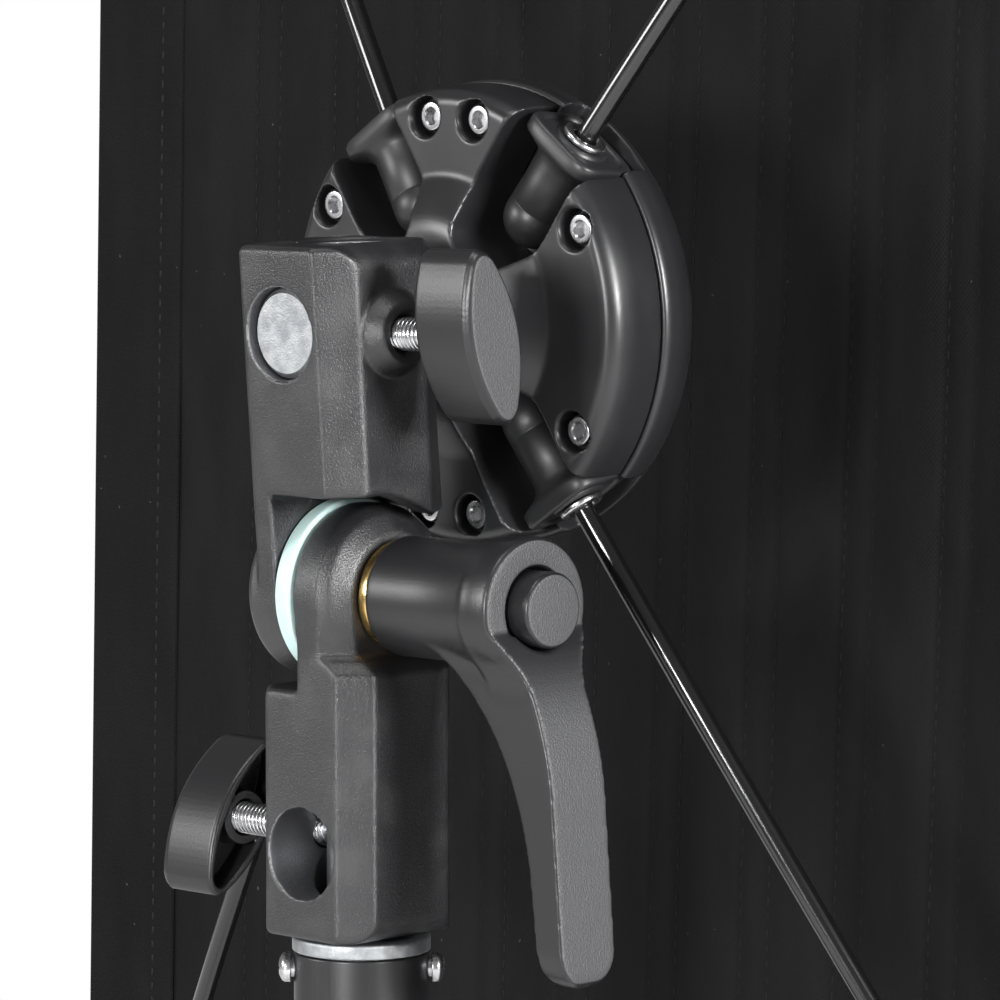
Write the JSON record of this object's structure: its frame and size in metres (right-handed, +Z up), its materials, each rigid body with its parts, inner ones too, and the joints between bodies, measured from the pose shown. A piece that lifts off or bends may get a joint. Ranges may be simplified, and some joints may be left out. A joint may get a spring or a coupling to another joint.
{
  "type": "fabric light panel head with tilting stand bracket",
  "caption": "Stitched black fabric light panel stretched by bowed rods from a round hub, on a tilting stand bracket with a clamping lever and T-knobs.",
  "frame": {"origin": "centre of the riser tube's lower end", "axes": "+Z up the riser, -Y behind the panel, +X on the lever's side"},
  "size_m": [0.4296, 0.1427, 0.6495],
  "materials": {
    "tube_black": "satin black",
    "zinc": "satin zinc plate",
    "steel": "bright nickel",
    "powder_coat": "fine black powder coat",
    "nylon": "white nylon",
    "brass": "turned brass",
    "soft_plastic": "textured black",
    "hub_plastic": "satin black",
    "socket_plastic": "smooth black",
    "rod_lacquer": "gloss black",
    "hem_fabric": "black woven binding",
    "back_fabric": "black coated fabric",
    "led_mat": "pale mat with light strips"
  },
  "bodies": {
    "stand": {"riser_tube": "tube_black", "riser_collar": "zinc", "riser_spigot": "zinc", "collar_screw_left": "steel", "collar_screw_right": "steel"},
    "lower_bracket": {"lower_body": "powder_coat", "friction_washer": "nylon", "brass_washer": "brass"},
    "lower_clamp_screw_body": {"lower_clamp_screw": "steel"},
    "lower_clamp_knob_body": {"lower_clamp_knob": "soft_plastic"},
    "upper_bracket": {"upper_body": "powder_coat", "tilt_bolt": "steel"},
    "upper_clamp_screw_body": {"upper_clamp_screw": "steel"},
    "upper_clamp_knob_body": {"upper_clamp_knob": "soft_plastic"},
    "lever": {"lever_handle": "soft_plastic", "lever_insert": "steel", "lever_spring": "steel"},
    "lever_button_body": {"lever_button": "soft_plastic"},
    "panel_head": {"hub_spigot": "zinc", "hub_rear_cover": "hub_plastic", "hub_front_cover": "hub_plastic", "hub_center_bolt": "steel", "hub_screw_1": "steel", "hub_screw_2": "steel", "hub_screw_3": "steel", "hub_screw_4": "steel", "hub_screw_5": "steel", "hub_screw_6": "steel", "hub_screw_7": "steel", "hub_screw_8": "steel", "rod_socket_upper_left": "socket_plastic", "socket_eyelet_upper_left": "steel", "rod_upper_left": "rod_lacquer", "rod_tip_upper_left": "socket_plastic", "corner_pocket_upper_left": "hem_fabric", "rod_socket_upper_right": "socket_plastic", "socket_eyelet_upper_right": "steel", "rod_upper_right": "rod_lacquer", "rod_tip_upper_right": "socket_plastic", "corner_pocket_upper_right": "hem_fabric", "rod_socket_lower_left": "socket_plastic", "socket_eyelet_lower_left": "steel", "rod_lower_left": "rod_lacquer", "rod_tip_lower_left": "socket_plastic", "corner_pocket_lower_left": "hem_fabric", "rod_socket_lower_right": "socket_plastic", "socket_eyelet_lower_right": "steel", "rod_lower_right": "rod_lacquer", "rod_tip_lower_right": "socket_plastic", "corner_pocket_lower_right": "hem_fabric", "panel_back": "back_fabric", "panel_led_mat": "led_mat", "panel_hem": "hem_fabric"}
  },
  "joints": [
    {"name": "pan_swivel", "type": "hinge", "parent": "stand", "child": "lower_bracket", "pos_m": [0, 0, 0.244], "axis": [0, 0, 1], "continuous": true},
    {"name": "tilt", "type": "hinge", "parent": "lower_bracket", "child": "upper_bracket", "pos_m": [0, 0, 0.29], "axis": [1, 0, 0], "range_deg": [-15, 85]},
    {"name": "panel_roll", "type": "hinge", "parent": "upper_bracket", "child": "panel_head", "pos_m": [0, -0.00207, 0.33746], "axis": [0, 0.999, 0.0436], "continuous": true},
    {"name": "lever_turn", "type": "hinge", "parent": "upper_bracket", "child": "lever", "pos_m": [0.03, 0, 0.29], "axis": [1, 0, 0], "range_deg": [-90, 15]},
    {"name": "button_press", "type": "slide", "parent": "lever", "child": "lever_button_body", "axis": [-1, 0, 0], "range_m": [0, 0.003], "stiffness_N_per_m": 800},
    {"name": "upper_screw_travel", "type": "slide", "parent": "upper_bracket", "child": "upper_clamp_screw_body", "axis": [1, 0, 0], "range_m": [0, 0.0021]},
    {"name": "upper_knob_turn", "type": "hinge", "parent": "upper_clamp_screw_body", "child": "upper_clamp_knob_body", "pos_m": [0.03, -0.00515, 0.33682], "axis": [1, 0, 0], "range_deg": [0, 720]},
    {"name": "lower_screw_travel", "type": "slide", "parent": "lower_bracket", "child": "lower_clamp_screw_body", "axis": [-1, 0, 0], "range_m": [0, 0.0021]},
    {"name": "lower_knob_turn", "type": "hinge", "parent": "lower_clamp_screw_body", "child": "lower_clamp_knob_body", "pos_m": [-0.03, -0.00075, 0.246], "axis": [-1, 0, 0], "range_deg": [0, 720]}
  ],
  "couplings": [
    {"joint": "upper_screw_travel", "follows": "upper_knob_turn", "m_per_rad": 0.00015915},
    {"joint": "lower_screw_travel", "follows": "lower_knob_turn", "m_per_rad": 0.00015915}
  ]
}
